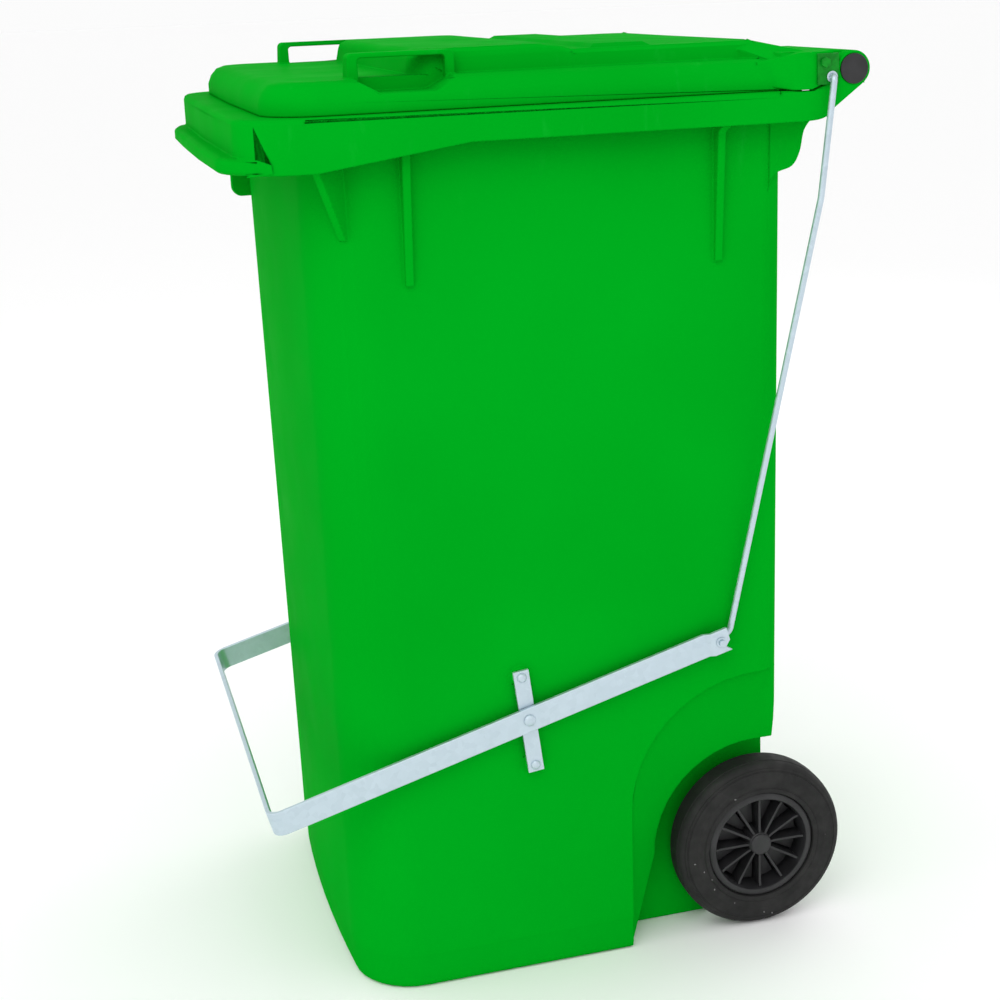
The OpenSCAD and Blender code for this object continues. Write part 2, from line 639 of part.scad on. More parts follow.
module lug_plate(s) color(STEEL) part_frame() on_side(s) difference() {
    translate([lug_x, lug_y - 8, lug_z + 9 - lug_h]) cube([lug_t, lug_w, lug_h]);
    translate([0, lug_y, lug_z]) rod_x_axis(lug_bolt_r + slip, lug_x - 1, lug_x + lug_t + 1);
}
module hex_x(r, x0, x1) translate([x0, 0, 0]) rotate([0, 90, 0]) cylinder(r = r, h = x1 - x0, $fn = 6);
module lug_bolts() color(STEEL) part_frame() both_sides() translate([0, lug_y, lug_z]) {
    rod_x_axis(lug_bolt_r, ear_in - 20, lug_x + lug_t);
    hex_x(5.5, lug_x + lug_t, lug_x + lug_t + 4);
}
module lug_nuts() color(STEEL) part_frame() both_sides() translate([0, lug_y, lug_z]) difference() {
    hex_x(5.8, ear_in - 19, ear_in - 15);
    rod_x_axis(lug_bolt_r, ear_in - 25, ear_in - 10);
}

// Pedal: one flat bar bent into a U, with a joggled tab on the rear end of each arm.
module pedal_half() {
    s0 = -arm_front;
    outer = arm_x + bar_t;
    tab_start = arm_rear - tab_l / 2;
    translate([0, s0]) square([outer - bend_r, bar_t]);
    translate([outer - bend_r, s0 + bend_r]) intersection() {
        difference() {
            circle(r = bend_r);
            circle(r = bend_r - bar_t);
        }
        translate([0, -bend_r]) square(bend_r);
    }
    translate([arm_x, s0 + bend_r]) square([bar_t, tab_start - joggle_l - s0 - bend_r]);
    polygon([[arm_x, tab_start - joggle_l], [outer, tab_start - joggle_l],
        [outer + joggle, tab_start], [tab_x, tab_start]]);
    translate([tab_x, tab_start]) square([bar_t, pedal_back - tab_start]);
}
module pedal_bar() color(STEEL) part_frame() at_pivot() rotate([arm_tilt, 0, 0]) difference() {
    translate([0, 0, -bar_w / 2]) linear_extrude(bar_w) {
        pedal_half();
        mirror([1, 0, 0]) pedal_half();
    }
    rod_x_axis(rivet_d / 2 + running, -arm_x - 20, arm_x + 20);
    translate([0, arm_rear, 0]) rod_x_axis(rod_r + running, -tab_x - 20, tab_x + 20);
    both_sides() for (z = [-1, 1]) translate([tab_x - 5, pedal_back, z * bar_w / 2])
        rotate([45, 0, 0]) cube([bar_t + 10, 9, 9]);
}
module pivot_strap(s) color(STEEL) part_frame() on_side(s) difference() {
    strap_frame(0) translate([strap_x, -strap_w / 2, -strap_l / 2]) cube([strap_t, strap_w, strap_l]);
    at_pivot() rod_x_axis(rivet_d / 2, strap_x - 1, strap_x + strap_t + 1);
    strap_holes(strap_bolt_r + slip, strap_x - 1, strap_x + strap_t + 1);
}
module strap_bolts() color(STEEL) part_frame() both_sides() for (s = [-1, 1]) strap_frame(s * strap_bolt_s) {
    rod_x_axis(strap_bolt_r, bolt_tip, strap_x + strap_t + 1);
    translate([strap_x + strap_t, 0, 0]) rotate([0, 90, 0]) rotate_extrude()
        polygon([[0, 0], [5.5, 0], [5.3, 1.2], [4, 2.6], [2, 3.3], [0, 3.5]]);
}
module strap_nuts() color(STEEL) part_frame() both_sides() for (s = [-1, 1])
    strap_frame(s * strap_bolt_s) difference() {
        hex_x(nut_r, nut_in, nut_in + nut_t);
        rod_x_axis(strap_bolt_r, nut_in - 1, nut_in + nut_t + 1);
    }
module pivot_rivets() color(STEEL) part_frame() at_pivot() both_sides() {
    rod_x_axis(rivet_d / 2, strap_x - 0.5, arm_x + bar_t + side_gap + 1);
    rod_x_axis(rivet_head_r, strap_x - 3, strap_x);
    translate([arm_x + bar_t + side_gap, 0, 0]) rotate([0, 90, 0]) rotate_extrude()
        polygon([[0, 0], [rivet_head_r, 0], [rivet_head_r - 1, 2], [rivet_head_r - 4, 3.2], [0, 3.6]]);
}
module pivot_washers() color(STEEL) part_frame() at_pivot() both_sides() difference() {
    rod_x_axis(8.5, strap_x + strap_t, arm_x - side_gap);
    rod_x_axis(rivet_d / 2, strap_x, arm_x + 5);
}

// Push rod: a steel rod with a bent-over pin at each end.
rod_route = [[rod_low_x, pin_y, pin_z], [rod_low_x, rod_heel_y, rod_heel_z],
    [rod_x, rod_knee_y, rod_knee_z], [rod_x, rod_top_y, rod_top_z]];
module segment(a, b) {
    d = b - a;
    length = norm(d);
    translate(a) rotate([0, acos(d[2] / length), atan2(d[1], d[0])]) cylinder(r = rod_r, h = length);
}
module push_rod(s) color(STEEL) part_frame() on_side(s) {
    for (i = [0:len(rod_route) - 2]) segment(rod_route[i], rod_route[i + 1]);
    for (p = rod_route) translate(p) sphere(r = rod_r + bend_swell);
    at_pin() rod_x_axis(rod_r, rod_low_x, tab_x + bar_t + 5);
    translate([0, rod_top_y, rod_top_z]) rod_x_axis(rod_r, lug_x + lug_t + side_gap, rod_x);
}
module rod_clip(x) difference() {
    rod_x_axis(rod_r + 2.5, x, x + 1.2);
    rod_x_axis(rod_r, x - 1, x + 3);
}
module rod_clips(s) color(STEEL) part_frame() on_side(s) {
    at_pin() rod_clip(tab_x + bar_t + side_gap);
    translate([0, rod_top_y, rod_top_z]) rod_clip(lug_x + lug_t + side_gap);
}

body_shell();
handle_bar();
bar_plug(-1);  // bar_plug_left
bar_plug(1);  // bar_plug_right
axle();
axle_spacers();
wheel_hub(-1);  // wheel_hub_left
wheel_hub(1);  // wheel_hub_right
tyre(-1);  // tyre_left
tyre(1);  // tyre_right
hub_cap(-1);  // hub_cap_left
hub_cap(1);  // hub_cap_right
axle_clips();
lid();
lug_plate(-1);  // lug_plate_left
lug_plate(1);  // lug_plate_right
lug_bolts();
lug_nuts();
pedal_bar();
pivot_strap(-1);  // pivot_strap_left
pivot_strap(1);  // pivot_strap_right
strap_bolts();
strap_nuts();
pivot_rivets();
pivot_washers();
push_rod(-1);  // push_rod_left
push_rod(1);  // push_rod_right
rod_clips(-1);  // rod_clips_left
rod_clips(1);  // rod_clips_right
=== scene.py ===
# %% [markdown]
# # A wheelie bin with a foot pedal
#
# This script dresses a packed mechanical model. The model already holds every size and every
# joint, so nothing here moves it: new meshes are built around it, each one rides on the body it
# belongs to, and each finish is a small tree of shader nodes.
#
# The first cell loads the frame: its parts and its record.

# %% Load the frame
import json
import math
import bmesh
import bpy
from mathutils import Matrix, Vector


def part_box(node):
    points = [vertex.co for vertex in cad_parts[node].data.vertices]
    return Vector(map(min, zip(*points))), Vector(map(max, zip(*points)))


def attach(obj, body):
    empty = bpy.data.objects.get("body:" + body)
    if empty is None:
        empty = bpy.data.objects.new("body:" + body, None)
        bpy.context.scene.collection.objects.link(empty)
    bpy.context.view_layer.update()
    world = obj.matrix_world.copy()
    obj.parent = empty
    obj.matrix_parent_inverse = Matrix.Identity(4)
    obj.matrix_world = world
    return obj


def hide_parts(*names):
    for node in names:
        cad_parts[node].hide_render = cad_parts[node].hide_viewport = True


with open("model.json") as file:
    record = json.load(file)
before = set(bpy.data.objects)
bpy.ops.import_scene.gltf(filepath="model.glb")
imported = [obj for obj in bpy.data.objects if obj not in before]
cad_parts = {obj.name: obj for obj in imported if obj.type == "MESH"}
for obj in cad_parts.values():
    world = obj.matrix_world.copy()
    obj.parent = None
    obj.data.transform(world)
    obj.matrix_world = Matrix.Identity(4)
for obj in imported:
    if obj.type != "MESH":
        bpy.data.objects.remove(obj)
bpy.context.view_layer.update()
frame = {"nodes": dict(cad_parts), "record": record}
scene = bpy.context.scene

# %% [markdown]
# ## Camera
#
# A bin like this is looked at from a standing child's height, from its right side and a little
# from the front. The camera is placed by an azimuth, an elevation and a distance from a point
# inside the bin, and it leans a little, as a hand-held camera does. The lens is
# fairly long, which keeps the upright edges nearly parallel.

# %% Set the camera
AZIMUTH = math.radians(74.21)
ELEVATION = math.radians(13.92)
ROLL = math.radians(-2.12)
DISTANCE = 2.1504


def aim_camera(target):
    """A camera that looks at target from the set azimuth, elevation and distance."""
    back = Vector((math.sin(AZIMUTH) * math.cos(ELEVATION),
                   -math.cos(AZIMUTH) * math.cos(ELEVATION), math.sin(ELEVATION)))
    right = (-back).cross(Vector((0, 0, 1))).normalized()
    up = right.cross(-back)
    across = right * math.cos(ROLL) + up * math.sin(ROLL)
    upward = -right * math.sin(ROLL) + up * math.cos(ROLL)
    data = bpy.data.cameras.new("camera")
    data.sensor_width = 36
    data.lens = 63.7
    data.shift_x = -0.030
    data.shift_y = -0.083
    camera = bpy.data.objects.new("camera", data)
    scene.collection.objects.link(camera)
    turned = Matrix((across, upward, back)).transposed().to_4x4()
    camera.matrix_world = Matrix.Translation(target + back * DISTANCE) @ turned
    scene.camera = camera
    return camera


axle_low, axle_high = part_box("axle")
axle_at = (axle_low + axle_high) / 2
camera = aim_camera(Vector((0, axle_at.y - 0.2, 0.5956)))
print("camera at", tuple(round(c, 3) for c in camera.location))

# %% [markdown]
# ## Floor and light
#
# The floor is one flat pale sheet under the bin, wide enough to fill any view. Three large soft
# lamps light it: a broad one over the bin's right shoulder, a fill from the front and a low one
# from behind.

# %% Make the floor and the lamps
FLOOR_REACH = 60.0


def pale_floor():
    """One flat sheet just under the bin, wide enough to fill any view."""
    mesh = bpy.data.meshes.new("floor")
    corners = [(-1, -1), (1, -1), (1, 1), (-1, 1)]
    mesh.from_pydata([(x * FLOOR_REACH, y * FLOOR_REACH, -0.0005) for x, y in corners],
                     [], [(0, 1, 2, 3)])
    floor = bpy.data.objects.new("floor", mesh)
    scene.collection.objects.link(floor)
    paint = bpy.data.materials.new("floor_paint")
    paint.use_nodes = True
    shader = paint.node_tree.nodes["Principled BSDF"]
    shader.inputs["Base Color"].default_value = (1, 1, 1, 1)
    shader.inputs["Roughness"].default_value = 0.8
    mesh.materials.append(paint)
    return floor


def soft_lamp(name, place, aim, size, power):
    """A square area lamp that points at aim."""
    data = bpy.data.lights.new(name, "AREA")
    data.size = size
    data.energy = power
    lamp = bpy.data.objects.new(name, data)
    lamp.location = place
    lamp.rotation_euler = (Vector(aim) - Vector(place)).to_track_quat("-Z", "Y").to_euler()
    scene.collection.objects.link(lamp)
    return lamp


pale_floor()
MIDDLE = (0, 0, 0.55)
soft_lamp("key_lamp", (2.4, -1.2, 3.2), MIDDLE, 2.2, 30)
soft_lamp("fill_lamp", (0.6, -3.4, 1.6), MIDDLE, 2.4, 8)
soft_lamp("back_lamp", (-1.5, 2.8, 2.2), MIDDLE, 2.0, 16)
world = bpy.data.worlds.new("studio")
world.use_nodes = True
world.node_tree.nodes["Background"].inputs["Color"].default_value = (1, 1, 1, 1)
world.node_tree.nodes["Background"].inputs["Strength"].default_value = 0.97
scene.world = world
scene.view_settings.view_transform = "Standard"

# %% [markdown]
# ## A small kit for finishes
#
# Every finish starts the same way: object coordinates feed some noise, the noise tints the
# colour, varies the roughness and lifts the surface a little. A few helpers keep each finish
# down to the sizes that make it what it is.

# %% Helpers for shader nodes


class Finish:
    """A material under construction: its nodes, its shader and its object coordinates."""

    def __init__(self, name):
        self.material = bpy.data.materials.new(name)
        self.material.use_nodes = True
        self.nodes = self.material.node_tree.nodes
        self.links = self.material.node_tree.links
        self.shader = self.nodes["Principled BSDF"]
        self.place = self.nodes.new("ShaderNodeTexCoord").outputs["Object"]
        self.height = None

    def set(self, **values):
        for socket, value in values.items():
            self.shader.inputs[socket.replace("_", " ")].default_value = value

    def noise(self, scale, detail=3, roughness=0.5, stretch=(1, 1, 1)):
        """Noise of so many grains per metre, from 0 to 1, stretched along any axis."""
        mapping = self.nodes.new("ShaderNodeMapping")
        mapping.inputs["Scale"].default_value = stretch
        self.links.new(self.place, mapping.inputs["Vector"])
        texture = self.nodes.new("ShaderNodeTexNoise")
        texture.inputs["Scale"].default_value = scale
        texture.inputs["Detail"].default_value = detail
        texture.inputs["Roughness"].default_value = roughness
        self.links.new(mapping.outputs["Vector"], texture.inputs["Vector"])
        return texture.outputs["Fac"]

    def cells(self, scale, output="Color"):
        """Voronoi cells, such as zinc spangle."""
        texture = self.nodes.new("ShaderNodeTexVoronoi")
        texture.inputs["Scale"].default_value = scale
        self.links.new(self.place, texture.inputs["Vector"])
        return texture.outputs[output]

    def ramp(self, value, low, high, out_low=0.0, out_high=1.0):
        """Maps low..high of a value to out_low..out_high, and clamps it."""
        node = self.nodes.new("ShaderNodeMapRange")
        for socket, number in (("From Min", low), ("From Max", high),
                               ("To Min", out_low), ("To Max", out_high)):
            node.inputs[socket].default_value = number
        self.links.new(value, node.inputs["Value"])
        return node.outputs["Result"]

    def mix(self, share, first, second):
        """Blends two colours, each a tuple or an output."""
        node = self.nodes.new("ShaderNodeMix")
        node.data_type = "RGBA"
        for socket, colour in ((node.inputs["A"], first), (node.inputs["B"], second)):
            if isinstance(colour, tuple):
                socket.default_value = (*colour, 1)
            else:
                self.links.new(colour, socket)
        self.links.new(share, node.inputs["Factor"])
        return node.outputs["Result"]

    def times(self, first, second):
        """One value times another value or number."""
        node = self.nodes.new("ShaderNodeMath")
        node.operation = "MULTIPLY"
        self.links.new(first, node.inputs[0])
        if isinstance(second, float):
            node.inputs[1].default_value = second
        else:
            self.links.new(second, node.inputs[1])
        return node.outputs["Value"]

    def colour(self, output):
        self.links.new(output, self.shader.inputs["Base Color"])

    def roughness(self, output):
        self.links.new(output, self.shader.inputs["Roughness"])

    def bump(self, value, distance, strength=1.0):
        """Lifts the surface by value times distance, on top of earlier bumps."""
        node = self.nodes.new("ShaderNodeBump")
        node.inputs["Distance"].default_value = distance
        node.inputs["Strength"].default_value = strength
        self.links.new(value, node.inputs["Height"])
        if self.height is not None:
            self.links.new(self.height, node.inputs["Normal"])
        self.height = node.outputs["Normal"]
        self.links.new(self.height, self.shader.inputs["Normal"])

    def above(self, low, high):
        """A share that rises from 0 at one height to 1 at another."""
        split = self.nodes.new("ShaderNodeSeparateXYZ")
        self.links.new(self.place, split.inputs["Vector"])
        return self.ramp(split.outputs["Z"], low, high)


# %% [markdown]
# ## Finishes
#
# The shell, the lid and the bar are injection-moulded polyethylene: one strong green through and
# through, a satin skin with a very fine grain, and hardly any change of colour. What breaks it
# up is use: faint scuffs where hands and lorry combs touch the rim.

# %% Green polyethylene
GREEN = (0.0, 0.37, 0.012)
GREEN_DEEP = (0.0, 0.33, 0.010)
GREEN_WORN = (0.008, 0.42, 0.03)


def green_polyethylene():
    finish = Finish("green_polyethylene")
    finish.set(IOR=1.012)
    drift = finish.ramp(finish.noise(3.2, 2), 0.3, 0.7)
    body = finish.mix(drift, GREEN_DEEP, GREEN)
    scuffs = finish.ramp(finish.noise(46, 5, 0.7, (1, 1, 0.22)), 0.60, 0.78)
    worn = finish.times(finish.times(scuffs, finish.above(0.86, 0.99)), 0.5)
    finish.colour(finish.mix(worn, body, GREEN_WORN))
    finish.roughness(finish.ramp(finish.noise(15, 4), 0.25, 0.75, 0.40, 0.54))
    finish.bump(finish.noise(9, 2), 0.0009, 0.25)
    finish.bump(finish.noise(1400, 2, 0.6), 0.00006, 0.5)
    return finish.material


green = green_polyethylene()

# %% [markdown]
# The hubs, the caps and the bar's end plugs are black nylon. It is a dark grey rather than
# black, it has a finer grain than the green parts, and its high spots shine a little more. The
# plate at the back of each hub is painted near black and matt: painted shade for the deep gaps
# round the petals.

# %% Black nylon
NYLON = (0.012, 0.012, 0.013)
NYLON_GREY = (0.024, 0.024, 0.026)
# The two colours of the painted shade on the hub's back plate.
SHADE_BLACK = (0.001, 0.001, 0.001)
SHADE_NEAR_BLACK = (0.003, 0.003, 0.003)


def black_nylon():
    finish = Finish("black_nylon")
    finish.set(Specular_IOR_Level=0.42)
    drift = finish.ramp(finish.noise(38, 4), 0.35, 0.7)
    finish.colour(finish.mix(drift, NYLON, NYLON_GREY))
    finish.roughness(finish.ramp(finish.noise(60, 3), 0.3, 0.7, 0.34, 0.50))
    finish.bump(finish.noise(1800, 2), 0.00005, 0.5)
    return finish.material


nylon = black_nylon()


# Painted shade, not a real finish of the nylon: near black and matt.
def painted_shade_nylon():
    """Painted shade: a matt, nearly black finish for the plate at the back of the hub, standing in
    for the shade in the gaps round the petals.
    """
    finish = Finish("hub_back_painted_shade")
    finish.set(Specular_IOR_Level=0.0, Roughness=0.9)
    finish.colour(finish.mix(finish.ramp(finish.noise(80), 0.3, 0.7),
                             SHADE_BLACK, SHADE_NEAR_BLACK))
    return finish.material


painted_shade_black = painted_shade_nylon()

# %% [markdown]
# The tyres are solid rubber. It is matt, it holds dust, and its skin has a coarse, soft grain
# from the mould.

# %% Solid rubber
RUBBER = (0.014, 0.014, 0.014)
RUBBER_DUST = (0.036, 0.035, 0.034)


def solid_rubber():
    finish = Finish("solid_rubber")
    finish.set(Specular_IOR_Level=0.25)
    dust = finish.ramp(finish.noise(26, 6, 0.65), 0.45, 0.80)
    finish.colour(finish.mix(finish.times(dust, 0.6), RUBBER, RUBBER_DUST))
    finish.roughness(finish.ramp(finish.noise(90, 3), 0.3, 0.7, 0.62, 0.82))
    finish.bump(finish.noise(420, 4, 0.6), 0.00022, 0.5)
    return finish.material


rubber = solid_rubber()

# %% [markdown]
# The pedal, the straps and the rods are galvanised: steel dipped in zinc. The lug plates on the
# lid and their bolts are painted green, so they have a finish of their own. The
# zinc freezes in flat crystals, each of which shines in its own direction, and it dulls to a
# pale blue grey. Cells give the crystals, and a slow noise gives the dulling.

# %% Galvanised and bright steel
ZINC = (0.58, 0.68, 0.75)
ZINC_DULL = (0.50, 0.60, 0.67)
BRIGHT_STEEL = (0.56, 0.57, 0.58)
STEEL_STAIN = (0.38, 0.37, 0.36)
PAINT = (0.002, 0.26, 0.014)
PAINT_DARK = (0.0, 0.16, 0.008)


def galvanised():
    finish = Finish("galvanised_steel")
    finish.set(Metallic=0.72)
    spangle = finish.ramp(finish.cells(150), 0.1, 0.9)
    body = finish.mix(spangle, ZINC_DULL, ZINC)
    dulling = finish.ramp(finish.noise(22, 5, 0.6), 0.45, 0.75)
    finish.colour(finish.mix(finish.times(dulling, 0.5), body, ZINC_DULL))
    finish.roughness(finish.ramp(finish.cells(150), 0.0, 1.0, 0.38, 0.60))
    finish.bump(finish.noise(260, 3), 0.00010, 0.4)
    return finish.material


def bright_steel():
    finish = Finish("bright_steel")
    finish.set(Metallic=1.0)
    stain = finish.ramp(finish.noise(70, 5, 0.6), 0.5, 0.8)
    finish.colour(finish.mix(stain, BRIGHT_STEEL, STEEL_STAIN))
    finish.roughness(finish.ramp(finish.noise(900, 2, 0.5, (0.05, 1, 1)), 0.3, 0.7, 0.24, 0.42))
    return finish.material


def painted_steel():
    """Green paint over steel, in lighter and darker patches."""
    finish = Finish("green_paint")
    finish.set(IOR=1.25)
    patches = finish.ramp(finish.noise(120, 4, 0.6), 0.35, 0.65)
    finish.colour(finish.mix(patches, PAINT_DARK, PAINT))
    finish.roughness(finish.ramp(finish.noise(200, 3), 0.3, 0.7, 0.30, 0.48))
    finish.bump(finish.noise(350, 3), 0.00012, 0.5)
    return finish.material


zinc = galvanised()
steel = bright_steel()
paint = painted_steel()
FINISH_OF_SLOT = {"green_plastic": green, "black_plastic": nylon, "rubber": rubber,
                  "galvanised_steel": zinc, "steel": steel, "green_paint": paint}
print("finishes:", [m.name for m in FINISH_OF_SLOT.values()])

# %% [markdown]
# ## Rounded edges
#
# A CAD mesh is loose triangles with knife edges. Nothing moulded or sheared is that sharp, and
# it is the thin highlight along a rounded edge that makes a part look real. So each plain part
# is copied, its triangles are joined into whole faces, and a bevel rounds every edge that turns
# by more than a limit.

# %% Round a copy of a CAD node
slot_of = {p["node"]: p["material_slot"] for p in frame["record"]["subparts"]}
body_of = {node: body for body, nodes in frame["record"]["behaviour"]["bodies"].items()
           for node in nodes}


def joined_copy(node, flat=1.0):
    """A copy of a CAD node's mesh, with its triangles joined into flat faces."""
    mesh = frame["nodes"][node].data.copy()
    mesh.name = node
    bm = bmesh.new()
    bm.from_mesh(mesh)
    bmesh.ops.remove_doubles(bm, verts=bm.verts, dist=2e-5)
    bmesh.ops.dissolve_limit(bm, angle_limit=math.radians(flat), verts=bm.verts, edges=bm.edges)
    bm.to_mesh(mesh)
    bm.free()
    return mesh


def settle(piece):
    """Applies every modifier of a piece, so that its mesh is final."""
    evaluated = piece.evaluated_get(bpy.context.evaluated_depsgraph_get())
    mesh = bpy.data.meshes.new_from_object(evaluated)
    piece.modifiers.clear()
    piece.data = mesh


def shade(piece, angle=35):
    """Smooth shading that keeps flat faces flat and stays sharp past an angle."""
    piece.data.shade_smooth()
    piece.data.set_sharp_from_angle(angle=math.radians(angle))
    weighted = piece.modifiers.new("flat_faces", "WEIGHTED_NORMAL")
    weighted.keep_sharp = True
    weighted.weight = 60
    settle(piece)


def round_edges(piece, width, limit=50, segments=2):
    """Bevels the edges that turn by more than limit, and shades the rest smooth."""
    bevel = piece.modifiers.new("round", "BEVEL")
    bevel.width = width
    bevel.segments = segments
    bevel.limit_method = "ANGLE"
    bevel.angle_limit = math.radians(limit)
    bevel.use_clamp_overlap = False
    settle(piece)
    shade(piece)


def dress(node, width, limit=50, segments=2, name=None):
    """Shows a rounded copy of a CAD node in its finish, in place of the node."""
    piece = bpy.data.objects.new(name or node + "_finished", joined_copy(node))
    scene.collection.objects.link(piece)
    round_edges(piece, width, limit, segments)
    piece.data.materials.clear()
    piece.data.materials.append(FINISH_OF_SLOT[slot_of[node]])
    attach(piece, body_of[node])
    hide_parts(node)
    return piece


ROUNDING = {"body_shell": 0.0018, "lid": 0.0016, "handle_bar": 0.0008, "pedal_bar": 0.0011}
SMALL_ROUNDING = 0.0005
OWN_MESH = {f"{kind}_{side}" for kind in ("wheel_hub", "tyre", "push_rod")
            for side in ("left", "right")}
dressed = [dress(node, ROUNDING.get(node, SMALL_ROUNDING))
           for node in frame["nodes"] if node not in OWN_MESH]
print("rounded copies:", len(dressed))

# %% [markdown]
# ## Node trees
#
# Things that repeat, and things swept along a path, are made by Geometry Nodes. A tree is built
# here node by node. It has named inputs, so one tree serves many pieces: the same ring tree
# places the spokes and the petals of the hubs.

# %% Helpers for geometry trees


class Tree:
    """A Geometry Nodes tree under construction, with one geometry input and named others."""

    def __init__(self, name, **inputs):
        self.group = bpy.data.node_groups.new(name, "GeometryNodeTree")
        face = self.group.interface
        face.new_socket("Geometry", in_out="INPUT", socket_type="NodeSocketGeometry")
        face.new_socket("Geometry", in_out="OUTPUT", socket_type="NodeSocketGeometry")
        self.named = {label: face.new_socket(label, in_out="INPUT",
                                             socket_type="NodeSocket" + kind).identifier
                      for label, kind in inputs.items()}
        self.start = self.group.nodes.new("NodeGroupInput").outputs
        self.end = self.group.nodes.new("NodeGroupOutput")

    def add(self, kind, inputs=None, **properties):
        """Adds a node and returns its first output; inputs are numbers or other outputs."""
        node = self.group.nodes.new(kind)
        for label, value in properties.items():
            setattr(node, label, value)
        for socket, value in (inputs or {}).items():
            if isinstance(value, bpy.types.NodeSocket):
                self.group.links.new(value, node.inputs[socket])
            else:
                node.inputs[socket].default_value = value
        return next(output for output in node.outputs if output.enabled)

    def close(self, geometry):
        """Ends the tree: real meshes, painted with the Material input."""
        real = self.add("GeometryNodeRealizeInstances", {"Geometry": geometry})
        painted = self.add("GeometryNodeSetMaterial",
                           {"Geometry": real, "Material": self.start["Material"]})
        self.group.links.new(painted, self.end.inputs["Geometry"])
        return self

    def grow(self, data, name, **values):
        """A new object whose mesh is what the tree makes of data."""
        piece = bpy.data.objects.new(name, data)
        scene.collection.objects.link(piece)
        modifier = piece.modifiers.new(self.group.name, "NODES")
        modifier.node_group = self.group
        for label, value in values.items():
            modifier[self.named[label]] = value
        evaluated = piece.evaluated_get(bpy.context.evaluated_depsgraph_get())
        mesh = bpy.data.meshes.new_from_object(evaluated)
        bpy.data.objects.remove(piece)
        return bpy.data.objects.new(name, mesh)


def ring_tree():
    """Copies of one mesh, turned round the X axis by equal steps."""
    tree = Tree("ring_of_copies", Count="Int", Material="Material")
    points = tree.add("GeometryNodeMeshLine", {"Count": tree.start["Count"], "Offset": (0, 0, 0)})
    index = tree.add("GeometryNodeInputIndex")
    step = tree.add("ShaderNodeMath", {0: math.tau, 1: tree.start["Count"]}, operation="DIVIDE")
    angle = tree.add("ShaderNodeMath", {0: index, 1: step}, operation="MULTIPLY")
    euler = tree.add("ShaderNodeCombineXYZ", {"X": angle})
    turn = tree.add("FunctionNodeEulerToRotation", {"Euler": euler})
    return tree.close(tree.add("GeometryNodeInstanceOnPoints", {
        "Points": points, "Instance": tree.start["Geometry"], "Rotation": turn}))


ring = ring_tree()
print("ring tree nodes:", len(ring.group.nodes))

# %% [markdown]
# ## Wheels
#
# A wheel is a lathe job. The hub is a turned profile: a boss on the axle, a deep dish and the
# seat for the tyre. Twelve thin spokes stand in the dish, and between them, far back, twelve
# petals stiffen it. The gaps round the petals open on a closed back plate, which is painted
# near black as painted shade, so they look black.
#
# Profiles are written as pairs: how far out along the axle from the wheel's inner face, and how
# far from the axle.

# %% Lathe and join
WHEEL_IN = 0.190
WHEEL_WIDTH = 0.046
RING_STEPS = 96


def lathe(profile, steps=RING_STEPS):
    """A closed profile of (along, radius) pairs, turned round the X axis."""
    mesh = bpy.data.meshes.new("lathe")
    count = len(profile)
    verts = [(along, radius * math.cos(k * math.tau / steps),
              radius * math.sin(k * math.tau / steps))
             for k in range(steps) for along, radius in profile]
    faces = [(k * count + i, k * count + (i + 1) % count,
              (k + 1) % steps * count + (i + 1) % count, (k + 1) % steps * count + i)
             for k in range(steps) for i in range(count)]
    mesh.from_pydata(verts, [], faces)
    return mesh


def prism(outline, low, high, bevel):
    """A flat outline in Y and Z, made solid from low to high along X, with rounded edges."""
    mesh = bpy.data.meshes.new("prism")
    count = len(outline)
    verts = [(x, y, z) for x in (low, high) for y, z in outline]
    faces = [tuple(range(count)), tuple(range(2 * count - 1, count - 1, -1))]
    faces += [(i, (i + 1) % count, (i + 1) % count + count, i + count) for i in range(count)]
    mesh.from_pydata(verts, [], faces)
    bm = bmesh.new()
    bm.from_mesh(mesh)
    bmesh.ops.bevel(bm, geom=bm.edges[:], offset=bevel, segments=2, profile=0.5,
                    affect="EDGES", clamp_overlap=True)
    bm.to_mesh(mesh)
    bm.free()
    return mesh


def joined(name, meshes, matrix):
    """One object at the origin from several meshes, moved into place."""
    bm = bmesh.new()
    for mesh in meshes:
        bm.from_mesh(mesh)
    bmesh.ops.transform(bm, matrix=matrix, verts=bm.verts)
    bmesh.ops.recalc_face_normals(bm, faces=bm.faces)
    whole = bpy.data.meshes.new(name)
    bm.to_mesh(whole)
    bm.free()
    piece = bpy.data.objects.new(name, whole)
    scene.collection.objects.link(piece)
    return piece


def hand_over(piece, node, paint=None, angle=35):
    """Shades a finished piece and lets it stand in for its CAD node."""
    shade(piece, angle)
    if paint:
        piece.data.materials.clear()
        piece.data.materials.append(paint)
    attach(piece, body_of[node])
    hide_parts(node)
    return piece


def at_wheel(side):
    """From a wheel drawn about the X axis to its place; the left one is a mirror image."""
    moved = Matrix.Translation((0, axle_at.y, axle_at.z))
    return moved @ Matrix.Diagonal((-1 if side == "left" else 1, 1, 1, 1))


# %% [markdown]
# The spoke is a thin blade. It is highest at the boss and falls to the rim. The petal is a
# wedge with a gap all round it.

# %% Hubs
HUB_PROFILE = [(0, 0.0101), (0, 0.019), (0.007, 0.019), (0.007, 0.052), (0.004, 0.058),
               (0.004, 0.066), (0.040, 0.066), (0.0425, 0.0652), (0.044, 0.063),
               (0.0445, 0.060), (0.044, 0.058), (0.042, 0.0566), (0.020, 0.0550),
               (0.012, 0.0540), (0.010, 0.052), (0.010, 0.0185), (0.022, 0.0165),
               (0.040, 0.0135), (0.041, 0.0125), (0.041, 0.0114), (0.034, 0.0114),
               (0.034, 0.0101)]
# The plate that closes the hub behind its spokes, painted near black as painted shade.
SHADE_PLATE = [(0.0102, 0.0186), (0.0125, 0.0186), (0.0125, 0.0538), (0.0102, 0.0520)]
SPOKES = 12
SPOKE_THICK = 0.0030
PETAL_HALF = math.radians(9.5)


